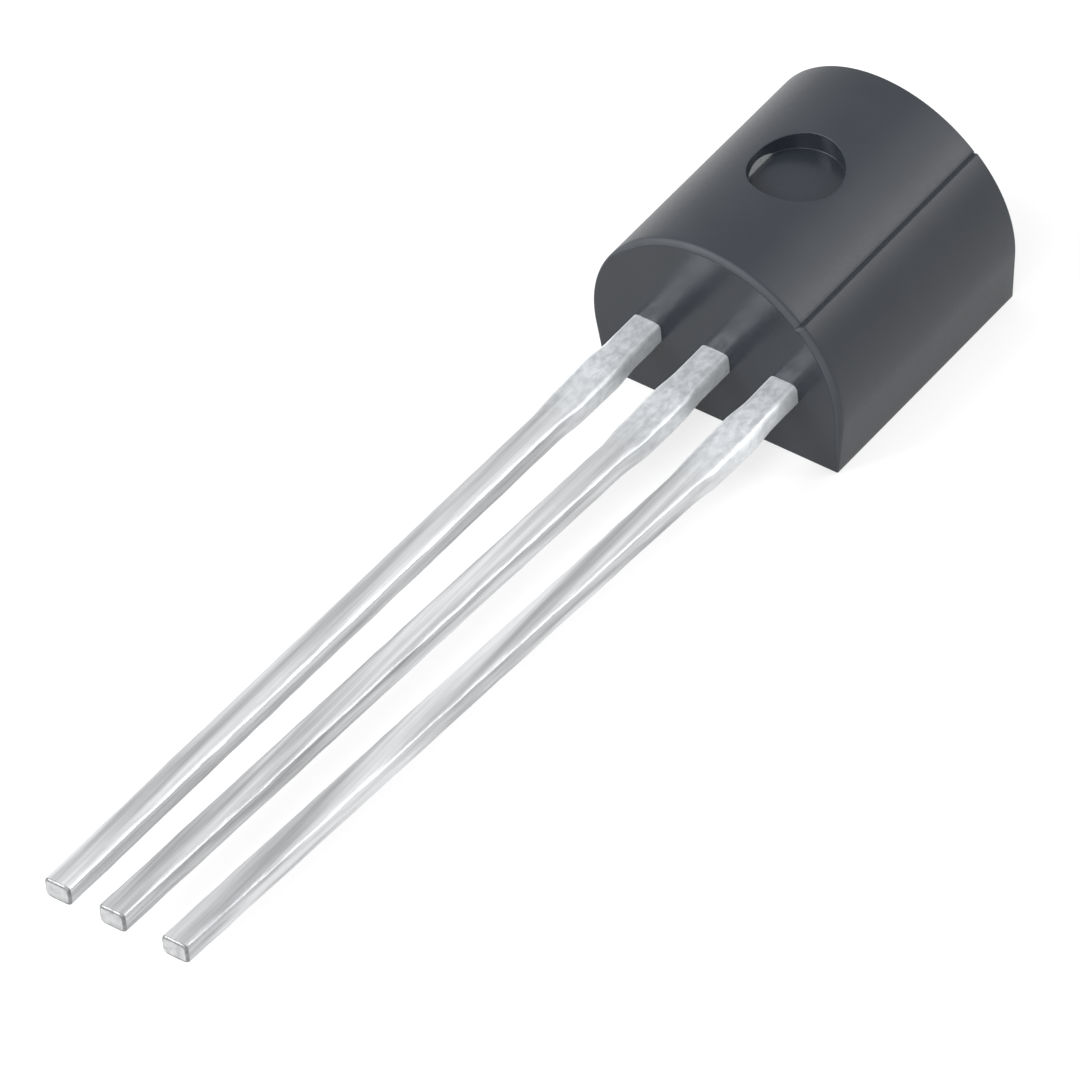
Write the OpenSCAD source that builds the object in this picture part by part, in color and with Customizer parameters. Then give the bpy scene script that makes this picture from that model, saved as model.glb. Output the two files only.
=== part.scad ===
// Three-lead transistor in a D-shaped moulded package, lying on its flat face.
// Millimetres. The origin is the centre of the flat face, +Z points to the round back,
// and the leads leave the body along -Y.

/* [Body] */
// Width across the flanks of the round back
body_w = 4.59; // [4.4:0.01:5]
// Length of the body along the leads
body_l = 4.58; // [4.3:0.01:5.3]
// Height of the mould's parting plane above the flat face, also the centre of the round back
part_z = 1.18; // [1.1:0.01:1.3]
// Width of the flat face
flat_w = 4.32; // [4:0.01:4.4]
// Radius of the rims round both end faces
rim_r = 0.11; // [0.05:0.01:0.16]
// Radius of the edges round the flat face
flat_edge_r = 0.07; // [0.03:0.01:0.12]
// How far the crown of the round back lies inside the emitter's flank where it starts
crown_step = 0.03; // [0.02:0.005:0.06]
// Angle above the parting plane where the crown starts, on the emitter's side
crown_start = 44; // [35:1:60]
// Width of the groove between the flank and the crown
groove_w = 0.05; // [0.03:0.01:0.1]
// Depth of the groove below the crown
groove_depth = 0.02; // [0.01:0.005:0.04]
// How far the flat-side half lies inside the back half at the parting line
part_step = 0.01; // [0.005:0.005:0.03]

/* [Ejector recess] */
// Diameter of the round recess in the crown
recess_d = 1.5; // [1:0.05:1.8]
// Depth of the recess below the top of the crown
recess_depth = 0.34; // [0.2:0.02:0.5]
// Radius between the wall and the floor of the recess
recess_floor_r = 0.06; // [0.04:0.02:0.16]

/* [Leads] */
// Distance from lead to lead at the body
pitch = 1.27; // [1.2:0.01:1.35]
// Width of a lead
lead_w = 0.48; // [0.4:0.01:0.55]
// Thickness of the lead frame
lead_t = 0.38; // [0.3:0.01:0.45]
// Height of the leads' middle plane above the flat face
lead_z = 1.28; // [1.2:0.01:1.4]
// Length of a lead from the body to its tip
lead_l = 14.22; // [10:0.1:16]
// Radius of the long edges of a lead
lead_edge_r = 0.08; // [0.04:0.01:0.12]
// Chamfer round the cut tip of a lead
tip_chamfer = 0.08; // [0.02:0.01:0.12]
// Angle by which the collector lead leans towards -X
collector_lean = 1.15; // [0:0.05:4]
// Angle by which the base lead leans towards -X
base_lean = 2.4; // [0:0.05:4]
// Angle by which the emitter lead leans towards -X
emitter_lean = 2.95; // [0:0.05:4]

/* [Tie bar stubs] */
// Width across the stubs that the trimmed tie bar leaves on a lead
stub_w = 0.58; // [0.56:0.01:0.7]
// Length of a stub along the lead
stub_l = 1.2; // [0.8:0.05:1.3]
// Distance from the body to the stub
stub_at = 1.05; // [0.6:0.05:1.1]
// Distance from a stub's outer end back to where the lead starts to lean
bend_inset = 0.15; // [0.1:0.01:0.25]

/* [Lead frame inside the body] */
// Distance from the end face to the shoulders that lock a lead in the body
shoulder_in = 0.35; // [0.2:0.05:0.5]
// Width of a lead past its shoulders
neck_w = 0.62; // [0.58:0.02:0.7]
// Width of the base lead's bond post
base_post_w = 0.8; // [0.66:0.02:0.9]
// Length of the base lead's bond post
base_post_l = 0.95; // [0.7:0.05:1]
// Distance from the end face to the die pad
pad_in = 1.75; // [1.7:0.05:1.9]
// Length of the die pad
pad_l = 1.65; // [1.3:0.05:1.75]
// Reach of the die pad past the middle of the body
pad_reach = 0.42; // [0.3:0.02:0.45]
// Distance from the end face to the emitter lead's bond post
emitter_post_in = 2; // [1.7:0.05:2.2]
// Length of the emitter lead's bond post
emitter_post_l = 0.9; // [0.7:0.05:1.1]
// Reach of the emitter lead's bond post inwards from its neck
emitter_post_reach = 0.12; // [0.05:0.01:0.15]
// Corner cut on the ends of the pad and posts
plate_corner = 0.1; // [0.05:0.01:0.15]

/* [Die and bond wires] */
// Side of the square silicon die
die_w = 0.48; // [0.4:0.02:0.6]
// Thickness of the die
die_t = 0.2; // [0.15:0.01:0.25]
// How far the die attach layer shows round the die
attach_margin = 0.06; // [0.03:0.01:0.1]
// Thickness of the die attach layer
attach_t = 0.03; // [0.02:0.005:0.05]
// Distance of the die's middle from the middle of the body, towards the collector
die_offset = 0.42; // [0.36:0.02:0.5]
// Diameter of a bond wire
wire_d = 0.05; // [0.04:0.005:0.06]
// Radius of the loop that a bond wire makes
wire_loop_r = 0.95; // [0.9:0.01:1.2]
// Diameter of the squashed ball or stitch at each end of a bond wire
bond_d = 0.12; // [0.1:0.01:0.14]
// Height of that ball or stitch
bond_h = 0.04; // [0.03:0.005:0.05]
// Distance of a wire's ball from the middle of the die
bond_offset = 0.12; // [0.08:0.01:0.13]

/* [Hidden] */
$fn = 96;

// Margin by which a cutting tool runs past what it cuts
over = 1;
// Angle by which a wire runs into its bonds at each end before it is trimmed flush
wire_over = 2;

flank_r = body_w / 2;
// The crown turns about an axis on the collector's side of the flank's, so that it ends at full width there
crown_shift = crown_step / (1 + cos(crown_start));
crown_r = flank_r - crown_shift;
crown_z = part_z + crown_r;
end_y = -body_l / 2;
front_w = body_w - 2 * part_step;
front_l = body_l - 2 * part_step;
draft = atan((front_w - flat_w) / 2 / part_z);

lead_top = lead_z + lead_t / 2;
pad_y = end_y + pad_in;
die_x = -die_offset;
die_y = pad_y + pad_l / 2;
die_z = lead_top + attach_t;
die_top = die_z + die_t;
base_bond = [0, end_y + shoulder_in + base_post_l / 2];
emitter_bond = [pitch - emitter_post_reach, end_y + emitter_post_in + emitter_post_l / 2];

// Half outline of the round back, turned about the body's length: a bar with rounded end corners
module round_bar_profile(inner_r, outer_r) {
    mid_l = body_l - 2 * rim_r;
    translate([inner_r, -body_l / 2])
        square([outer_r - rim_r - inner_r, body_l]);
    translate([inner_r, -mid_l / 2])
        square([outer_r - inner_r, mid_l]);
    for (side = [-1, 1])
        translate([outer_r - rim_r, side * mid_l / 2])
            circle(r = rim_r);
}

// Sector of the round back about an axis at axis_x, between two angles above the parting plane
module back_sector(axis_x, from, to, inner_r, outer_r) {
    translate([axis_x, 0, part_z])
        rotate([90, 0, 0])
            rotate_extrude(angle = to - from, start = from)
                round_bar_profile(inner_r, outer_r);
}

// Back half of the body: a proud flank on the emitter's side, a groove, and the crown
module back_half() {
    core_r = flank_r - crown_step - groove_depth;
    flank_end = crown_start - groove_w / flank_r * 180 / PI;
    crown_from = crown_start - asin(crown_shift * sin(crown_start) / crown_r);
    back_sector(0, 0, 180, 0, core_r);
    back_sector(0, 0, flank_end, core_r / 2, flank_r);
    back_sector(-crown_shift, crown_from, 180, core_r / 2, crown_r);
}

// Plan of the flat-side half, open on one side, with the two corners on the other side rounded
module front_plan() {
    mid_l = front_l - 2 * rim_r;
    edge = front_w / 2 * cos(draft);
    translate([-body_w, -front_l / 2])
        square([body_w + edge - rim_r, front_l]);
    translate([-body_w, -mid_l / 2])
        square([body_w + edge, mid_l]);
    for (side = [-1, 1])
        translate([edge - rim_r, side * mid_l / 2])
            circle(r = rim_r);
}

// One drafted flank of the flat-side half, which leans in towards the flat face
module front_flank() {
    translate([0, 0, part_z])
        rotate([0, draft, 0])
            translate([0, 0, -body_w])
                linear_extrude(2 * body_w)
                    front_plan();
}

// Corner cutter that rounds the edge between two faces; corner is the angle between them
module edge_cutter(corner) {
    run = flat_edge_r / tan(corner / 2);
    far = [run + over, over + flat_edge_r];
    difference() {
        polygon([
            [-run, flat_edge_r], [-run, -over], [over, -over],
            far, [-run * cos(corner), run * sin(corner)]
        ]);
        translate([-run, flat_edge_r])
            circle(r = flat_edge_r);
    }
}

// Cutters along the edges of the flat face: two under the flanks and two under the end faces
module flat_edge_cutters() {
    for (side = [0, 180])
        rotate([0, 0, side]) {
            translate([flat_w / 2, 0, 0])
                rotate([90, 0, 0])
                    linear_extrude(2 * body_l, center = true)
                        edge_cutter(90 + draft);
            translate([0, front_l / 2, 0])
                rotate([90, 0, 90])
                    linear_extrude(2 * body_w, center = true)
                        edge_cutter(90);
        }
}

// Flat-side half of the body: drafted flanks, rounded corners and a soft edge round the flat face.
// It reaches a little way into the back half.
module front_half() {
    difference() {
        intersection() {
            front_flank();
            mirror([1, 0, 0])
                front_flank();
            translate([-body_w, -body_l, 0])
                cube([2 * body_w, 2 * body_l, part_z + part_step]);
        }
        flat_edge_cutters();
    }
}

// Round recess with a soft edge round its floor
module recess() {
    floor_d = recess_d - 2 * recess_floor_r;
    translate([0, 0, crown_z - recess_depth])
        rotate_extrude() {
            square([floor_d / 2, recess_depth + over]);
            translate([0, recess_floor_r])
                square([recess_d / 2, recess_depth + over - recess_floor_r]);
            translate([floor_d / 2, recess_floor_r])
                circle(r = recess_floor_r);
        }
}

module body() {
    color("dimgray")
        difference() {
            union() {
                back_half();
                front_half();
            }
            recess();
            collector_lead();
            base_lead();
            emitter_lead();
            die_attach();
            die();
            base_wire();
            emitter_wire();
        }
}

// Section of a lead: a rectangle with round corners
module lead_section() {
    straight_w = lead_w - 2 * lead_edge_r;
    straight_t = lead_t - 2 * lead_edge_r;
    square([lead_w, straight_t], center = true);
    square([straight_w, lead_t], center = true);
    for (x = [-1, 1], z = [-1, 1])
        translate([x * straight_w / 2, z * straight_t / 2])
            circle(r = lead_edge_r);
}

// Outline that cuts the corners off a lead's tip; far_end says where its narrow end stops
module tip_outline(width, length, far_end) {
    reach = 2 * width;
    narrow = width / 2 - tip_chamfer - far_end;
    start = -length - far_end;
    polygon([
        [-narrow, start], [narrow, start], [narrow + reach, start + reach],
        [narrow + reach, over], [-narrow - reach, over], [-narrow - reach, start + reach]
    ]);
}

// Straight bar of the lead's section, from in_y down to -length, with a chamfered tip
module lead_bar(in_y, length) {
    intersection() {
        translate([0, in_y, 0])
            rotate([90, 0, 0])
                linear_extrude(in_y + length + over)
                    lead_section();
        linear_extrude(2 * over, center = true)
            tip_outline(lead_w, length, 0);
        rotate([0, 90, 0])
            linear_extrude(2 * over, center = true)
                tip_outline(lead_t, length, tip_chamfer / 8);
    }
}

// Outer part of a lead, drawn from the end face: a straight root, the tie bar's stubs, and a run that
// leans from inside the stubs on
module lead_run(lean) {
    bend_at = stub_at + stub_l - bend_inset;
    lead_bar(2 * shoulder_in, bend_at);
    translate([0, -bend_at, 0])
        rotate([0, 0, -lean])
            lead_bar(stub_l / 2, (lead_l - bend_at) / cos(lean));
    translate([-stub_w / 2, -stub_at - stub_l, -lead_t / 2])
        cube([stub_w, stub_l, lead_t]);
}

// Flat plate of lead frame, drawn from the end face
module plate() {
    linear_extrude(lead_t, center = true)
        children();
}

// Rectangle from one corner to another, with the two corners at its far end cut
module cut_plate(x0, y0, x1, y1) {
    c = plate_corner;
    polygon([[x0, y0], [x1, y0], [x1, y1 - c], [x1 - c, y1], [x0 + c, y1], [x0, y1 - c]]);
}

// Moves what is drawn from the end face to its place in the body
module from_end_face(x) {
    translate([x, end_y, lead_z])
        children();
}

module collector_lead() {
    color("silver")
        from_end_face(-pitch) {
            lead_run(collector_lean);
            plate() {
                translate([-neck_w / 2, shoulder_in])
                    square([neck_w, pad_in - shoulder_in + pad_l / 2]);
                cut_plate(-neck_w / 2, pad_in, pitch + pad_reach, pad_in + pad_l);
            }
        }
}

module base_lead() {
    color("silver")
        from_end_face(0) {
            lead_run(base_lean);
            plate()
                cut_plate(-base_post_w / 2, shoulder_in, base_post_w / 2, shoulder_in + base_post_l);
        }
}

module emitter_lead() {
    post_end = emitter_post_in + emitter_post_l;
    color("silver")
        from_end_face(pitch) {
            lead_run(emitter_lean);
            plate() {
                translate([-neck_w / 2, shoulder_in])
                    square([neck_w, emitter_post_in - shoulder_in + emitter_post_l / 2]);
                cut_plate(-neck_w / 2 - emitter_post_reach, emitter_post_in, neck_w / 2, post_end);
            }
        }
}

module die_attach() {
    side = die_w + 2 * attach_margin;
    color("lightgray")
        translate([die_x - side / 2, die_y - side / 2, lead_top])
            cube([side, side, attach_t]);
}

module die() {
    color("slategray")
        translate([die_x - die_w / 2, die_y - die_w / 2, die_z])
            cube([die_w, die_w, die_t]);
}

// Bond wire from a ball on the die to a stitch on a bond post, in one arc
module bond_wire(from, to) {
    run = norm(to - from);
    drop = die_top - lead_top;
    half = norm([run, drop]) / 2;
    slope = atan2(-drop, run);
    half_sweep = asin(half / wire_loop_r);
    depth = wire_loop_r * cos(half_sweep);
    mid = [run / 2 - depth * sin(-slope), -drop / 2 - depth * cos(slope)];
    translate([from[0], from[1], die_top])
        rotate([0, 0, atan2(to[1] - from[1], to[0] - from[0])]) {
            difference() {
                translate([mid[0], 0, mid[1]])
                    rotate([90, 0, 0])
                        rotate_extrude(
                            angle = 2 * (half_sweep + wire_over),
                            start = 90 + slope - half_sweep - wire_over
                        )
                            translate([wire_loop_r, 0])
                                circle(d = wire_d);
                translate([-over, -over / 2, -over])
                    cube([over + run / 2, over, over]);
                translate([run / 2, -over / 2, -drop - over])
                    cube([run / 2 + over, over, over]);
            }
            cylinder(d = bond_d, h = bond_h);
            translate([run, 0, -drop])
                cylinder(d = bond_d, h = bond_h);
        }
}

module base_wire() {
    color("gold")
        bond_wire([die_x, die_y - bond_offset], base_bond);
}

module emitter_wire() {
    color("gold")
        bond_wire([die_x + bond_offset, die_y], emitter_bond);
}

body();
collector_lead();
base_lead();
emitter_lead();
die();
die_attach();
base_wire();
emitter_wire();
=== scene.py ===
"""Looks of a small three-lead transistor that lies on its flat face: meshes, finishes, light and camera."""

import math
from collections import namedtuple

import bmesh
import bpy
from mathutils import Matrix, Vector, noise


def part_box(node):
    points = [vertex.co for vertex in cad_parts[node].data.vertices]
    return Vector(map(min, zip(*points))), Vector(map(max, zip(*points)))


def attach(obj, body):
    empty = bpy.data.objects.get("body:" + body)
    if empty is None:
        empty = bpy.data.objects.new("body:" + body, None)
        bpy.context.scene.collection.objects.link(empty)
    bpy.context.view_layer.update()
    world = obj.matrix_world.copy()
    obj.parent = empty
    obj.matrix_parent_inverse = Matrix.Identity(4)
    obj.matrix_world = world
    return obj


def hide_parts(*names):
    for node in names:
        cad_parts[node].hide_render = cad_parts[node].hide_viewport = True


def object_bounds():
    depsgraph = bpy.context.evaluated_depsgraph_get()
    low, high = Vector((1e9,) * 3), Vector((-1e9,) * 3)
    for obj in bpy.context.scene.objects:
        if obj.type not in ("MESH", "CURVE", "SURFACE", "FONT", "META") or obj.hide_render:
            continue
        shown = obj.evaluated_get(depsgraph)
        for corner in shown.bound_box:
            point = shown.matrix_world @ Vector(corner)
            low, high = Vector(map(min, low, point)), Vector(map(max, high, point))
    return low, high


MM = 0.001

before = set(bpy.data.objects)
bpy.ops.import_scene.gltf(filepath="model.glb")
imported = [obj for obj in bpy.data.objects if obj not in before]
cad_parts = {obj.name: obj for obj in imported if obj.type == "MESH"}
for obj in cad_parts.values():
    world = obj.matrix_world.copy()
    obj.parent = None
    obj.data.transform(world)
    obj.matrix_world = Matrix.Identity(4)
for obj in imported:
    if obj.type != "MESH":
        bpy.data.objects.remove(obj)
cad_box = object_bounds()
body_low, body_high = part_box("body")

# Camera: where the photograph was taken from. Its target is the middle of the flat face's near edge.
IMAGE_SIZE = 1080
TARGET_PIXEL = (721.1, 420.8)
PIXELS_PER_MM = 66.18
CAMERA_DISTANCE = 200 * MM
NEAREST_SEEN = CAMERA_DISTANCE / 20
VIEW_AZIMUTH = math.radians(39.43)
VIEW_ELEVATION = math.radians(43.45)
VIEW_ROLL = math.radians(-5.1)
SENSOR_WIDTH = 36

# Moulded body, in millimetres: the sizes of the part's own solid, with edges as they look in the photograph
FLANK_R = (body_high.x - body_low.x) / 2 / MM
HALF_L = (body_high.y - body_low.y) / 2 / MM
PART_Z = 1.18
CROWN_R = body_high.z / MM - PART_Z
CROWN_SHIFT = FLANK_R - CROWN_R
CROWN_START = math.radians(44)
FLAT_W = 4.32
FLAT_EDGE_R = 0.04
FLAT_END_R = 0.02

# Groove next to the crown. It is deepest between two shares of its width.
GROOVE_W = 0.05
GROOVE_DEPTH = 0.02
GROOVE_EDGE_R = 0.03
GROOVE_DEEP_FROM = 0.4
GROOVE_DEEP_TO = 0.5

# Rims: the near one is round, and sharper past two angles on the collector's side. The far one is sharp.
RIM_R = 0.11
SHARP_R = 0.03
SHARP_FROM = math.radians(130)
SHARP_TO = math.radians(150)
FAR_R = 0.012

# Recess in the crown, with a worn flat at its foot on the collector's side
RECESS_R = 0.75
RECESS_DEPTH = 0.34
RECESS_FLOOR_Z = PART_Z + CROWN_R - RECESS_DEPTH
RECESS_EDGE_R = 0.015
RECESS_FLOOR_R = 0.015
RECESS_WORN_W = 0.08

# Body's mesh: the window is the piece of the crown that is meshed in rings round the recess
WINDOW_ANGLE = math.radians(64)
WINDOW_HALF_L = 1.0
WINDOW_ROWS = 20
SIDE_ROWS = 10
CAP_MARGIN = 0.005
SHARP_ANGLE = math.radians(50)

# Leads, in millimetres, with places along them counted from the end face, and leans in degrees
PITCH = 1.27
LEAD_W = 0.48
LEAD_LEANS = {"collector_lead": 1.15, "base_lead": 2.4, "emitter_lead": 2.95}
LEAD_PLACES = {"collector_lead": -PITCH, "base_lead": 0, "emitter_lead": PITCH}
STUB_W = 0.58
STUB_START = 1.05
STUB_END = 2.25
STUB_EDGE = 0.4
BEND_AT = 2.1
BEND_REACH = 0.3
TIP_R = 0.06
SECTION_POWER = 5

# A lead's mesh reaches into the body, where the sealed end of the lead's own solid is cut off
LEAD_INSIDE = 0.34
INNER_CUT = 0.3
RING_STEP = 0.04
LEAD_SIDES = 48

# Plating: an uneven layer, thicker next to the body
PLATE_WAVE = 0.006
PLATE_GRAIN = 3
PLATE_STRETCH = 0.8
ROOT_PLATE = 0.014

# Finishes: pairs of colours that a noise mixes, noise in spots per millimetre, bumps in millimetres
BACK_ROUGHNESS = 0.39
END_ROUGHNESS = 0.18
RIM_ROUGHNESS = 0.62
ROUGHNESS_VARIES = 0.02
RECESS_POLISH = 0.5
MOULDING_IOR = 1.42
SIDE_COLOURS = ((0.02, 0.0237, 0.0305), (0.0235, 0.0275, 0.035))
END_COLOURS = ((0.012, 0.0155, 0.0215), (0.0145, 0.018, 0.025))
# The rims' colours are paler: partly scuffing, partly a painted highlight along the rounded edges.
RIM_WEAR_AND_SHEEN_COLOURS = ((0.038, 0.0425, 0.0485), (0.053, 0.059, 0.0665))
CLOUD_SCALE = 1.1
GRAIN_SCALE = 22
GRAIN_DEPTH = 0.00025
WAVE_SCALE = 1.7
WAVE_DEPTH = 0.002

DRAWN_COLOURS = ((0.34, 0.346, 0.355), (0.695, 0.703, 0.715))
FROSTED_COLOURS = ((0.405, 0.42, 0.438), (0.59, 0.612, 0.638))
# The root's sides are painted paler: partly a shear-cut finish, partly painted light that lifts their shade.
SHEARED_AND_LIT_SIDE_COLOURS = ((0.66, 0.68, 0.7), (0.84, 0.86, 0.88))
TIP_COLOURS = ((0.42, 0.425, 0.43), (0.58, 0.585, 0.59))
# Painted shade round the tip's rounded edges, and a painted shadow at its foot.
TIP_SHADE_COLOURS = ((0.17, 0.172, 0.175), (0.27, 0.272, 0.275))
RUN_METALLIC = 0.6
ROOT_METALLIC = 0.3
TIN_ROUGHNESS = (0.42, 0.32)
LINE_SCALE = 6
LINE_STRETCH = (1, 0.03, 1)
LINE_DEPTH = 0.008
MOTTLE_SCALE = 9
MOTTLE_STRETCH = (1, 0.7, 1)
MOTTLE_DEPTH = 0.005

# The root's finish fades between two distances from the body, and the painted shadow at the tip's foot
# between two heights
ROOT_TO = 1
ROOT_GONE = 3.2
FOOT_SHADOW_TO = 0.03
FOOT_SHADOW_GONE = 0.1

# Range of a noise in which a colour or roughness changes
WIDE_RANGE = (0.3, 0.7)
NARROW_RANGE = (0.35, 0.65)

# How much a surface faces along an axis where a finish starts, and where it is full
END_FACING = (0.95, 0.998)
RIM_FACING = (0.15, 0.6)
SHEARED_AND_LIT_FACING = (0.15, 0.55)
TIP_FACING = (0.9, 0.99)
TIP_EDGE_FACING = (0.15, 0.4)

# Finishes of the sealed pieces: two colours, metallic, roughness and noise
INNER_FINISHES = {
    "silicon": ((0.16, 0.17, 0.2), (0.3, 0.31, 0.35), 0.9, 0.15, 20),
    "silver_epoxy": ((0.5, 0.5, 0.48), (0.7, 0.7, 0.68), 0.8, 0.45, 40),
    "gold": ((0.85, 0.55, 0.2), (0.95, 0.68, 0.3), 1, 0.2, 60),
}
INNER_PIECES = {"die": "silicon", "die_attach": "silver_epoxy", "base_wire": "gold", "emitter_wire": "gold"}
INNER_VARIES = 0.1

# Light: a grey studio, a pale floor and soft boxes. A brightness of 1 is that of a white sheet.
WORLD_LEVEL = 0.8
FLOOR_COLOUR = (0.36, 0.36, 0.36, 1)
FLOOR_GLOW = 0.64
FLOOR_HALF = 2.0
SOFTBOX_DISTANCE = 0.3
LAMP_WATTS = 4
# Azimuth and elevation in degrees, width and height in metres, and brightness
SOFTBOXES = {
    "back_softbox": (129, 29, 0.13, 0.08, 5.4),
    "top_softbox": (143, 48, 0.17, 0.12, 1.5),
    "left_softbox": (-40, 43, 0.13, 0.13, 11),
    "front_softbox": (18, 30, 0.14, 0.14, 3),
}


def direction(azimuth, elevation):
    """Unit vector towards a place on the sky. Azimuth 0 is -Y and 90 degrees is +X."""
    level = math.cos(elevation)
    return Vector((math.sin(azimuth) * level, -math.cos(azimuth) * level, math.sin(elevation)))


def look_along(forward, up):
    """Rotation of a camera or lamp whose -Z points along forward."""
    back = -forward.normalized()
    right = up.cross(back).normalized()
    return Matrix((right, back.cross(right), back)).transposed().to_quaternion()


def mix(low, high, share):
    return low + (high - low) * share


def ease(low, high, value):
    """0 below low, 1 above high, and a smooth step between them."""
    share = min(1, max(0, (value - low) / (high - low)))
    return share * share * (3 - 2 * share)


def steps(low, high, count):
    """count values from just past low up to high."""
    return [mix(low, high, (i + 1) / count) for i in range(count)]


def link(obj):
    bpy.context.scene.collection.objects.link(obj)
    return obj


def add_camera():
    back = direction(VIEW_AZIMUTH, VIEW_ELEVATION)
    level_right = Vector((math.cos(VIEW_AZIMUTH), math.sin(VIEW_AZIMUTH), 0))
    right = Matrix.Rotation(VIEW_ROLL, 3, back) @ level_right
    up = back.cross(right)
    focal_pixels = PIXELS_PER_MM * CAMERA_DISTANCE / MM
    off_right = (TARGET_PIXEL[0] - IMAGE_SIZE / 2) / focal_pixels
    off_up = (IMAGE_SIZE / 2 - TARGET_PIXEL[1]) / focal_pixels
    data = bpy.data.cameras.new("camera")
    data.sensor_width = SENSOR_WIDTH
    data.lens = focal_pixels * SENSOR_WIDTH / IMAGE_SIZE
    data.clip_start = NEAREST_SEEN
    camera = link(bpy.data.objects.new("camera", data))
    camera.rotation_mode = "QUATERNION"
    camera.location = Vector((0, body_low.y, body_low.z)) + back * CAMERA_DISTANCE
    camera.rotation_quaternion = look_along(-back - right * off_right - up * off_up, up)
    bpy.context.scene.camera = camera


# Body mesh

# Point of the body's section, the direction into the body, and the radius of the near rim there
SectionPoint = namedtuple("SectionPoint", "x z in_x in_z end_r")


def back_radius(angle):
    """Radius of the round back at an angle from the emitter's side: flank, groove or crown."""
    crown = math.sqrt(CROWN_R ** 2 - (CROWN_SHIFT * math.sin(angle)) ** 2) - CROWN_SHIFT * math.cos(angle)
    along = (angle - CROWN_START) * FLANK_R + GROOVE_W
    edge_share = min(1, max(0, along / GROOVE_EDGE_R + 1))
    shelf = FLANK_R - GROOVE_EDGE_R * (1 - math.sqrt(1 - edge_share ** 2))
    if along <= 0:
        return shelf
    dip = ease(0, GROOVE_W * GROOVE_DEEP_FROM, along) - ease(GROOVE_W * GROOVE_DEEP_TO, GROOVE_W, along)
    return mix(shelf, crown, ease(0, GROOVE_W, along)) - GROOVE_DEPTH * dip


def front_section(draft):
    """Emitter's half of the flat-side section, from the middle of the flat face to the round back."""
    foot_x = FLANK_R / math.cos(draft) - PART_Z * math.tan(draft)
    run = FLAT_EDGE_R / math.tan((math.pi / 2 + draft) / 2)
    flat_end = foot_x - run
    points = [SectionPoint(x, 0, 0, 1, FLAT_END_R) for x in [0] + steps(0, flat_end, 6)]
    for turn in steps(-math.pi / 2, -draft, 6):
        x, z = math.cos(turn), math.sin(turn)
        place = (flat_end + FLAT_EDGE_R * x, FLAT_EDGE_R * (1 + z))
        points.append(SectionPoint(*place, -x, -z, FLAT_END_R))
    low = points[-1]
    high = (FLANK_R * math.cos(draft), PART_Z - FLANK_R * math.sin(draft))
    for share in steps(0, 1, 8):
        place = (mix(low.x, high[0], share), mix(low.z, high[1], share))
        points.append(SectionPoint(*place, low.in_x, low.in_z, mix(FLAT_END_R, RIM_R, share)))
    return points


def mirrored(p):
    """The same point on the collector's side, where the rim is sharper."""
    return p._replace(x=-p.x, in_x=-p.in_x, end_r=min(p.end_r, SHARP_R))


def back_point(angle):
    x, z = math.cos(angle), math.sin(angle)
    r = back_radius(angle)
    end_r = mix(RIM_R, SHARP_R, ease(SHARP_FROM, SHARP_TO, angle))
    return SectionPoint(r * x, PART_Z + r * z, -x, -z, end_r)


def body_section():
    """The whole section as a closed loop, up the emitter's side, over the back and down."""
    draft = math.atan((FLANK_R - FLAT_W / 2) / PART_Z)
    front = front_section(draft)
    groove_start = CROWN_START - GROOVE_W / FLANK_R
    edge_start = groove_start - GROOVE_EDGE_R / FLANK_R
    window_end = math.pi - WINDOW_ANGLE
    angles = steps(-draft, edge_start, 24) + steps(edge_start, groove_start, 10)
    angles += steps(groove_start, CROWN_START, 16) + steps(CROWN_START, WINDOW_ANGLE, 14)
    angles += steps(WINDOW_ANGLE, window_end, 26) + steps(window_end, math.pi + draft, 38)[:-1]
    back = [back_point(angle) for angle in angles]
    return front + back + [mirrored(p) for p in reversed(front[1:])]


def end_place(p, side, turn, margin):
    """Inset and place along Y of a section's point on a rim that turns from the end face to the side."""
    rim_r = p.end_r if side < 0 else FAR_R
    inset = rim_r * (1 - math.sin(turn)) + margin
    return inset, side * (HALF_L - rim_r * (1 - math.cos(turn)))


def end_rings(side):
    """Rings of one end, from its cap to the full section; each gives a section's point its place."""
    turns = [(0, CAP_MARGIN), (0, 0)] + [(turn, 0) for turn in steps(0, math.pi / 2, 8)]
    return [lambda p, turn=turn, margin=margin: end_place(p, side, turn, margin) for turn, margin in turns]


def straight_rings():
    """Rings between the two ends."""
    reach = HALF_L - RIM_R
    lines = steps(-reach, -WINDOW_HALF_L, SIDE_ROWS)
    lines += steps(-WINDOW_HALF_L, WINDOW_HALF_L, WINDOW_ROWS)
    lines += steps(WINDOW_HALF_L, reach, SIDE_ROWS)[:-1]
    return [lambda p, y=y: (0, y) for y in lines]


def crown_z(x):
    return PART_Z + math.sqrt(CROWN_R ** 2 - (x + CROWN_SHIFT) ** 2)


def crown_ring(edge, turns, radius, sink, share):
    """Ring on the crown, or sunk below it, at a share of the way from the window's edge to a radius."""
    ring = []
    for p, turn in zip(edge, turns):
        x = mix(p.x, radius * math.cos(turn), share)
        y = mix(p.y, radius * math.sin(turn), share)
        ring.append(Vector((x, y, crown_z(x) - sink)))
    return ring


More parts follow.
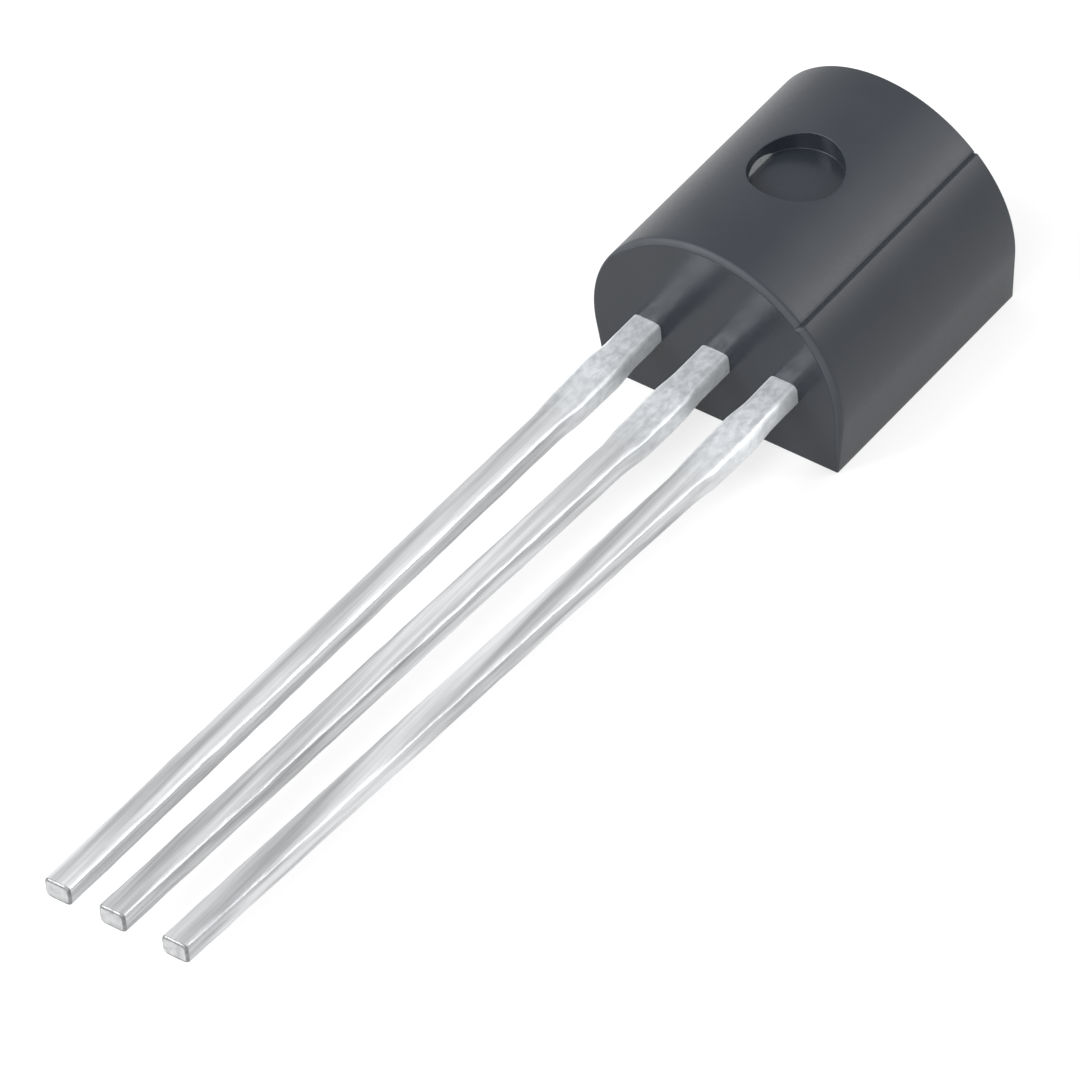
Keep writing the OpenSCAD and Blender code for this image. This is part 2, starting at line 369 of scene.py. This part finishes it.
def corner_ring(turns, share):
    """Ring in the corner at the floor's edge: small and round, with the worn flat on the collector's side."""
    ring = []
    for turn in turns:
        slope = max(1e-6, -math.cos(turn))
        inner_r = min(RECESS_R - RECESS_FLOOR_R, (RECESS_R - RECESS_WORN_W) / slope)
        radius = mix(RECESS_R, inner_r, share)
        past = max(0, radius - RECESS_R + RECESS_FLOOR_R)
        corner = RECESS_FLOOR_R - math.sqrt(RECESS_FLOOR_R ** 2 - past ** 2)
        worn = radius * slope - RECESS_R + RECESS_WORN_W
        height = RECESS_FLOOR_Z + max(corner, worn)
        ring.append(Vector((radius * math.cos(turn), radius * math.sin(turn), height)))
    return ring


def floor_ring(turns, share):
    radius = RECESS_R * share
    return [Vector((radius * math.cos(turn), radius * math.sin(turn), RECESS_FLOOR_Z)) for turn in turns]


def recess_rings(edge):
    """Rings from a window's edge in to the recess's floor; each ring is a list of points."""
    turns = [math.atan2(p.y, p.x) for p in edge]
    rings = [crown_ring(edge, turns, RECESS_R + RECESS_EDGE_R, 0, share) for share in steps(0, 1, 6)]
    for turn in steps(0, math.pi / 2, 6):
        radius = RECESS_R + RECESS_EDGE_R * (1 - math.sin(turn))
        rings.append(crown_ring(edge, turns, radius, RECESS_EDGE_R * (1 - math.cos(turn)), 1))
    rings += [corner_ring(turns, share) for share in [0] + steps(0, 1, 8)]
    rings += [floor_ring(turns, share) for share in (0.8, 0.6, 0.3)]
    return rings


def bridge(mesh, outer, inner):
    """Quads between two closed rings of vertices."""
    count = len(outer)
    for i in range(count):
        k = (i + 1) % count
        mesh.faces.new((outer[i], outer[k], inner[k], inner[i]))


def add_recess(mesh, grid, columns, rows):
    """Fills the window that columns and rows of the grid leave open with the recess."""
    first, last = columns
    low, high = rows
    edge = [grid[low][i] for i in range(first, last)]
    edge += [grid[j][last] for j in range(low, high)]
    edge += [grid[high][i] for i in range(last, first, -1)]
    edge += [grid[j][first] for j in range(high, low, -1)]
    outer = edge
    for ring in recess_rings([v.co for v in edge]):
        inner = [mesh.verts.new(p) for p in ring]
        bridge(mesh, outer, inner)
        outer = inner
    mesh.faces.new(outer)


def add_skin(mesh, grid, columns, rows):
    """Quads over the grid, apart from the window, and a cap on each end."""
    count = len(grid[0])
    for j in range(len(grid) - 1):
        for i in range(count):
            if rows[0] <= j < rows[1] and columns[0] <= i < columns[1]:
                continue
            k = (i + 1) % count
            mesh.faces.new((grid[j][i], grid[j][k], grid[j + 1][k], grid[j + 1][i]))
    mesh.faces.new(grid[0])
    mesh.faces.new(grid[-1])


def finish_mesh(mesh, name):
    """Turns a bmesh in millimetres into an object in metres, with smooth faces and sharp creases."""
    bmesh.ops.delete(mesh, geom=[v for v in mesh.verts if not v.link_faces], context="VERTS")
    bmesh.ops.recalc_face_normals(mesh, faces=mesh.faces)
    bmesh.ops.scale(mesh, vec=(MM, MM, MM), verts=mesh.verts)
    data = bpy.data.meshes.new(name)
    mesh.to_mesh(data)
    mesh.free()
    data.shade_smooth()
    data.set_sharp_from_angle(angle=SHARP_ANGLE)
    return link(bpy.data.objects.new(name, data))


def window_columns(section):
    """First and last column of the window."""
    window_z = PART_Z + CROWN_R * math.sin(WINDOW_ANGLE) - CROWN_SHIFT
    inside = [i for i, p in enumerate(section) if p.z > window_z]
    return inside[0], inside[-1]


def add_body():
    section = body_section()
    near_end = end_rings(-1)
    far_end = end_rings(1)[::-1]
    mesh = bmesh.new()
    grid = []
    for ring in near_end + straight_rings() + far_end:
        row = []
        for p in section:
            inset, y = ring(p)
            row.append(mesh.verts.new((p.x + p.in_x * inset, y, p.z + p.in_z * inset)))
        grid.append(row)
    columns = window_columns(section)
    first_row = len(near_end) + SIDE_ROWS - 1
    rows = (first_row, first_row + WINDOW_ROWS)
    add_skin(mesh, grid, columns, rows)
    add_recess(mesh, grid, columns, rows)
    body = finish_mesh(mesh, "moulded_body")
    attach(body, "root")
    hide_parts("body")
    return body


# Lead meshes


def section_corner(turn):
    """Point of a rounded square of half side 1 at a turn; a higher power has sharper corners."""
    x, z = math.cos(turn), math.sin(turn)
    return (
        math.copysign(abs(x) ** (2 / SECTION_POWER), x),
        math.copysign(abs(z) ** (2 / SECTION_POWER), z),
    )


def lead_ring(place, lean, height, thickness, along, inset):
    """One ring of a lead, at a distance along from the end face."""
    stub = ease(STUB_START - STUB_EDGE, STUB_START + STUB_EDGE / 2, along)
    stub -= ease(STUB_END - STUB_EDGE / 2, STUB_END + STUB_EDGE, along)
    width = mix(LEAD_W, STUB_W, stub)
    root_plate = ROOT_PLATE * (1 - ease(STUB_START, STUB_END, along))
    past = along - BEND_AT
    bent = past if past > BEND_REACH else max(0, past + BEND_REACH) ** 2 / 4 / BEND_REACH
    x_middle = place - bent * math.tan(math.radians(lean))
    ring = []
    for i in range(LEAD_SIDES):
        x, z = section_corner(2 * math.pi * (i + 0.5) / LEAD_SIDES)
        grain = Vector((place + x, along * PLATE_STRETCH, z)) * PLATE_GRAIN
        swell = PLATE_WAVE * noise.noise(grain) + root_plate
        x_out = (width / 2 - inset + swell) * x
        z_out = (thickness / 2 - inset + swell) * z
        ring.append(Vector((x_middle + x_out, -HALF_L - along, height + z_out)))
    return ring


def lead_rings(name):
    """Rings of a lead, from inside the body to the rounded tip."""
    low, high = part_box(name)
    height = (low.z + high.z) / 2 / MM
    thickness = (high.z - low.z) / MM
    length = -low.y / MM - HALF_L
    count = round((length + LEAD_INSIDE - TIP_R) / RING_STEP)
    spans = [(-LEAD_INSIDE, 0)] + [(along, 0) for along in steps(-LEAD_INSIDE, length - TIP_R, count)]
    for turn in steps(0, math.pi / 2, 6):
        spans.append((length - TIP_R * (1 - math.sin(turn)), TIP_R * (1 - math.cos(turn))))
    shape = (LEAD_PLACES[name], LEAD_LEANS[name], height, thickness)
    return [lead_ring(*shape, along, inset) for along, inset in spans]


def add_inner_frame(mesh, name):
    """Copies the sealed end of the lead's own solid, cut off inside the body."""
    inner = bmesh.new()
    inner.from_mesh(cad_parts[name].data)
    bmesh.ops.scale(inner, vec=(1 / MM, 1 / MM, 1 / MM), verts=inner.verts)
    bmesh.ops.remove_doubles(inner, verts=inner.verts, dist=1e-4)
    everything = inner.verts[:] + inner.edges[:] + inner.faces[:]
    cut = Vector((0, -HALF_L + INNER_CUT, 0))
    made = bmesh.ops.bisect_plane(inner, geom=everything, plane_co=cut, plane_no=(0, -1, 0), clear_outer=True)
    rim = [e for e in made["geom_cut"] if isinstance(e, bmesh.types.BMEdge)]
    bmesh.ops.contextual_create(inner, geom=rim)
    copied = {v: mesh.verts.new(v.co) for v in inner.verts}
    for face in inner.faces:
        mesh.faces.new([copied[v] for v in face.verts])
    inner.free()


def add_lead(name):
    mesh = bmesh.new()
    rings = [[mesh.verts.new(p) for p in ring] for ring in lead_rings(name)]
    for outer, inner in zip(rings, rings[1:]):
        bridge(mesh, outer, inner)
    mesh.faces.new(rings[0])
    mesh.faces.new(rings[-1])
    add_inner_frame(mesh, name)
    lead = finish_mesh(mesh, "plated_" + name)
    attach(lead, "root")
    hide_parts(name)
    return lead


# Materials


def new_material(name):
    material = bpy.data.materials.new(name)
    material.use_nodes = True
    tree = material.node_tree
    return material, tree, tree.nodes["Principled BSDF"]


def add_node(tree, kind, **settings):
    node = tree.nodes.new("ShaderNode" + kind)
    for name, value in settings.items():
        setattr(node, name, value)
    return node


def place_in_mm(tree, stretch=(1, 1, 1)):
    """Place on the object in millimetres, with each axis multiplied by its stretch."""
    coordinates = add_node(tree, "TexCoord")
    scaled = add_node(tree, "VectorMath", operation="MULTIPLY")
    scaled.inputs[1].default_value = [s / MM for s in stretch]
    tree.links.new(coordinates.outputs["Object"], scaled.inputs[0])
    return scaled.outputs[0]


def noise_of(tree, place, scale, detail=2, roughness=0.5):
    """Noise of a scale, in spots per millimetre."""
    texture = add_node(tree, "TexNoise")
    texture.inputs["Scale"].default_value = scale
    texture.inputs["Detail"].default_value = detail
    texture.inputs["Roughness"].default_value = roughness
    tree.links.new(place, texture.inputs["Vector"])
    return texture.outputs["Fac"]


def spread(tree, value, low, high, to_low, to_high):
    """Maps a value from one range to another, and keeps it inside."""
    node = add_node(tree, "MapRange", interpolation_type="SMOOTHSTEP")
    for name, number in (("From Min", low), ("From Max", high), ("To Min", to_low), ("To Max", to_high)):
        node.inputs[name].default_value = number
    tree.links.new(value, node.inputs["Value"])
    return node.outputs["Result"]


def blend(tree, share, first, second):
    """Number between two sockets."""
    node = add_node(tree, "Mix", data_type="FLOAT")
    tree.links.new(share, node.inputs["Factor"])
    tree.links.new(first, node.inputs["A"])
    tree.links.new(second, node.inputs["B"])
    return node.outputs["Result"]


def blend_colours(tree, share, first, second):
    """Colour between two sockets. The node's colour sockets share their names, so they go by number."""
    node = add_node(tree, "Mix", data_type="RGBA")
    tree.links.new(share, node.inputs["Factor"])
    tree.links.new(first, node.inputs[6])
    tree.links.new(second, node.inputs[7])
    return node.outputs[2]


def combine(tree, operation, first, second):
    """Math on two sockets, kept between 0 and 1."""
    node = add_node(tree, "Math", operation=operation, use_clamp=True)
    tree.links.new(first, node.inputs[0])
    tree.links.new(second, node.inputs[1])
    return node.outputs[0]


def facing_share(tree, axis, span):
    """1 where the surface faces along an axis, either way, and 0 where it faces across it."""
    parts = add_node(tree, "SeparateXYZ")
    tree.links.new(add_node(tree, "TexCoord").outputs["Normal"], parts.inputs[0])
    size = add_node(tree, "Math", operation="ABSOLUTE")
    tree.links.new(parts.outputs[axis], size.inputs[0])
    return spread(tree, size.outputs[0], *span, 0, 1)


def colours_of(tree, value, colours, span):
    """Colour from the first to the second of a pair, while a value goes through a span."""
    node = add_node(tree, "ValToRGB")
    for element, position, colour in zip(node.color_ramp.elements, span, colours):
        element.position = position
        element.color = (*colour, 1)
    tree.links.new(value, node.inputs["Fac"])
    return node.outputs["Color"]


def bump_of(tree, height, depth_mm, below=None):
    """Bumps of a depth in millimetres, on top of other bumps."""
    node = add_node(tree, "Bump")
    node.inputs["Distance"].default_value = depth_mm * MM
    tree.links.new(height, node.inputs["Height"])
    if below:
        tree.links.new(below, node.inputs["Normal"])
    return node.outputs["Normal"]


def recess_mask(tree, place):
    """1 in the recess and 0 outside it."""
    radius = add_node(tree, "VectorMath", operation="LENGTH")
    tree.links.new(place_in_mm(tree, (1, 1, 0)), radius.inputs[0])
    height = add_node(tree, "SeparateXYZ")
    tree.links.new(place, height.inputs[0])
    inside = spread(tree, radius.outputs["Value"], RECESS_R, RECESS_R + RECESS_EDGE_R, 1, 0)
    above = spread(tree, height.outputs["Z"], PART_Z, PART_Z + CROWN_R / 2, 0, 1)
    return combine(tree, "MULTIPLY", inside, above)


def moulding_zones(tree, place):
    """Shares of the glossier zones, on the end faces and in the recess, and of the rims, which are rougher
    and painted paler: partly scuffing, partly a painted highlight.
    """
    on_end = facing_share(tree, "Y", END_FACING)
    in_recess = recess_mask(tree, place)
    part_polished = spread(tree, in_recess, 0, 1, 0, RECESS_POLISH)
    polished = combine(tree, "MAXIMUM", on_end, part_polished)
    sheltered = combine(tree, "MAXIMUM", on_end, in_recess)
    # Rims: rougher, and painted paler as partly scuffing, partly a painted highlight.
    rim_wear_and_sheen = combine(tree, "SUBTRACT", facing_share(tree, "Y", RIM_FACING), sheltered)
    return polished, rim_wear_and_sheen


def moulding_colour(tree, cloud, polished, rim_wear_and_sheen):
    # The pale rim colour is partly scuffing and partly a painted highlight.
    satin, glossy, pale = [
        colours_of(tree, cloud, pair, WIDE_RANGE) for pair in (SIDE_COLOURS, END_COLOURS, RIM_WEAR_AND_SHEEN_COLOURS)
    ]
    return blend_colours(tree, rim_wear_and_sheen, blend_colours(tree, polished, satin, glossy), pale)


def moulding_roughness(tree, grain, polished, rim_wear_and_sheen):
    side, end, rim = [
        spread(tree, grain, *WIDE_RANGE, level - ROUGHNESS_VARIES, level + ROUGHNESS_VARIES)
        for level in (BACK_ROUGHNESS, END_ROUGHNESS, RIM_ROUGHNESS)
    ]
    return blend(tree, rim_wear_and_sheen, blend(tree, polished, side, end), rim)


def moulding_material():
    """Dark epoxy: satin round the sides, glossier on the end faces and in the recess, and rougher on the
    rims, which are painted paler, partly as scuffing and partly as a painted highlight.
    """
    material, tree, shader = new_material("moulded_epoxy")
    place = place_in_mm(tree)
    cloud = noise_of(tree, place, CLOUD_SCALE)
    grain = noise_of(tree, place, GRAIN_SCALE, detail=3)
    zones = moulding_zones(tree, place)
    tree.links.new(moulding_colour(tree, cloud, *zones), shader.inputs["Base Color"])
    tree.links.new(moulding_roughness(tree, grain, *zones), shader.inputs["Roughness"])
    waves = bump_of(tree, noise_of(tree, place, WAVE_SCALE), WAVE_DEPTH)
    tree.links.new(bump_of(tree, grain, GRAIN_DEPTH, waves), shader.inputs["Normal"])
    shader.inputs["IOR"].default_value = MOULDING_IOR
    return material


def tin_colour(tree, at_root, foot_shadow, lines, mottle):
    """Drawn along the run, frosted at the root with sides painted paler as painted light besides a shear-cut
    finish, with painted shade round the tip's edges and a painted shadow at its foot.
    """
    drawn = colours_of(tree, lines, DRAWN_COLOURS, NARROW_RANGE)
    frosted, sheared_and_lit, tip, tip_shade = [
        colours_of(tree, mottle, pair, NARROW_RANGE)
        for pair in (FROSTED_COLOURS, SHEARED_AND_LIT_SIDE_COLOURS, TIP_COLOURS, TIP_SHADE_COLOURS)
    ]
    # Sides of the root: partly a shear-cut finish, partly painted light that lifts their shade.
    root = blend_colours(tree, facing_share(tree, "X", SHEARED_AND_LIT_FACING), frosted, sheared_and_lit)
    along = blend_colours(tree, at_root, drawn, root)
    # Painted shadow at the tip's foot, and painted shade on its rounded edges.
    on_tip = combine(tree, "SUBTRACT", facing_share(tree, "Y", TIP_FACING), foot_shadow)
    end = blend_colours(tree, on_tip, tip_shade, tip)
    return blend_colours(tree, facing_share(tree, "Y", TIP_EDGE_FACING), along, end)


def tin_material():
    """Tin plate on the leads."""
    material, tree, shader = new_material("tin_plate")
    lines = noise_of(tree, place_in_mm(tree, LINE_STRETCH), LINE_SCALE, detail=3)
    mottle = noise_of(tree, place_in_mm(tree, MOTTLE_STRETCH), MOTTLE_SCALE, detail=4, roughness=0.6)
    axes = add_node(tree, "SeparateXYZ")
    tree.links.new(place_in_mm(tree), axes.inputs[0])
    at_root = spread(tree, axes.outputs["Y"], -HALF_L - ROOT_GONE, -HALF_L - ROOT_TO, 0, 1)
    lead_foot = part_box("base_lead")[0].z / MM
    # Painted shadow along the bottom of the tip.
    foot_shadow = spread(tree, axes.outputs["Z"], lead_foot + FOOT_SHADOW_TO, lead_foot + FOOT_SHADOW_GONE, 1, 0)
    tree.links.new(tin_colour(tree, at_root, foot_shadow, lines, mottle), shader.inputs["Base Color"])
    tree.links.new(spread(tree, at_root, 0, 1, RUN_METALLIC, ROOT_METALLIC), shader.inputs["Metallic"])
    tree.links.new(spread(tree, mottle, *WIDE_RANGE, *TIN_ROUGHNESS), shader.inputs["Roughness"])
    streaks = bump_of(tree, lines, LINE_DEPTH)
    tree.links.new(bump_of(tree, mottle, MOTTLE_DEPTH, streaks), shader.inputs["Normal"])
    return material


def inner_material(name, low, high, metallic, roughness, scale):
    """Material of a sealed piece: a grain between two colours."""
    material, tree, shader = new_material(name)
    grain = noise_of(tree, place_in_mm(tree), scale, detail=3)
    gloss = spread(tree, grain, *WIDE_RANGE, roughness, roughness + INNER_VARIES)
    tree.links.new(colours_of(tree, grain, (low, high), WIDE_RANGE), shader.inputs["Base Color"])
    tree.links.new(gloss, shader.inputs["Roughness"])
    shader.inputs["Metallic"].default_value = metallic
    return material


def dress(obj, material):
    obj.data.materials.clear()
    obj.data.materials.append(material)


def dress_inside():
    """Die, die attach layer and bond wires, sealed in the body."""
    finishes = {name: inner_material(name, *finish) for name, finish in INNER_FINISHES.items()}
    for node, finish in INNER_PIECES.items():
        dress(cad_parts[node], finishes[finish])


# Stage


def add_softbox(name, azimuth, elevation, width, height, level):
    """Area lamp that faces the object."""
    towards = direction(math.radians(azimuth), math.radians(elevation))
    data = bpy.data.lights.new(name, "AREA")
    data.shape = "RECTANGLE"
    data.size = width
    data.size_y = height
    data.energy = level * LAMP_WATTS * width * height
    lamp = link(bpy.data.objects.new(name, data))
    lamp.rotation_mode = "QUATERNION"
    lamp.location = towards * SOFTBOX_DISTANCE
    lamp.rotation_quaternion = look_along(-towards, Vector((0, 0, 1)))


def add_world():
    world = bpy.data.worlds.new("studio")
    world.use_nodes = True
    background = world.node_tree.nodes["Background"]
    background.inputs["Color"].default_value = (1, 1, 1, 1)
    background.inputs["Strength"].default_value = WORLD_LEVEL
    bpy.context.scene.world = world


def floor_material():
    """Pale floor that glows a little for what sees it, and is clear from below."""
    material, tree, shader = new_material("floor")
    shader.inputs["Base Color"].default_value = FLOOR_COLOUR
    shader.inputs["Roughness"].default_value = 1
    shader.inputs["Specular IOR Level"].default_value = 0
    shader.inputs["Emission Color"].default_value = (1, 1, 1, 1)
    paths = add_node(tree, "LightPath")
    seen = paths.outputs["Is Camera Ray"]
    for ray in ("Is Glossy Ray", "Is Transmission Ray"):
        seen = combine(tree, "MAXIMUM", seen, paths.outputs[ray])
    tree.links.new(spread(tree, seen, 0, 1, 0, FLOOR_GLOW), shader.inputs["Emission Strength"])
    below = add_node(tree, "NewGeometry")
    clear = add_node(tree, "BsdfTransparent")
    sides = add_node(tree, "MixShader")
    tree.links.new(below.outputs["Backfacing"], sides.inputs["Fac"])
    tree.links.new(shader.outputs[0], sides.inputs[1])
    tree.links.new(clear.outputs[0], sides.inputs[2])
    tree.links.new(sides.outputs[0], tree.nodes["Material Output"].inputs["Surface"])
    return material


def add_floor():
    z = cad_box[0].z
    corners = [(x * FLOOR_HALF, y * FLOOR_HALF, z) for x, y in ((-1, -1), (1, -1), (1, 1), (-1, 1))]
    mesh = bpy.data.meshes.new("floor")
    mesh.from_pydata(corners, [], [(0, 1, 2, 3)])
    floor = link(bpy.data.objects.new("floor", mesh))
    dress(floor, floor_material())


add_camera()
dress(add_body(), moulding_material())
tin = tin_material()
for lead_name in LEAD_LEANS:
    dress(add_lead(lead_name), tin)
dress_inside()
add_world()
add_floor()
for softbox_name, softbox in SOFTBOXES.items():
    add_softbox(softbox_name, *softbox)
bpy.context.scene.view_settings.view_transform = "Standard"
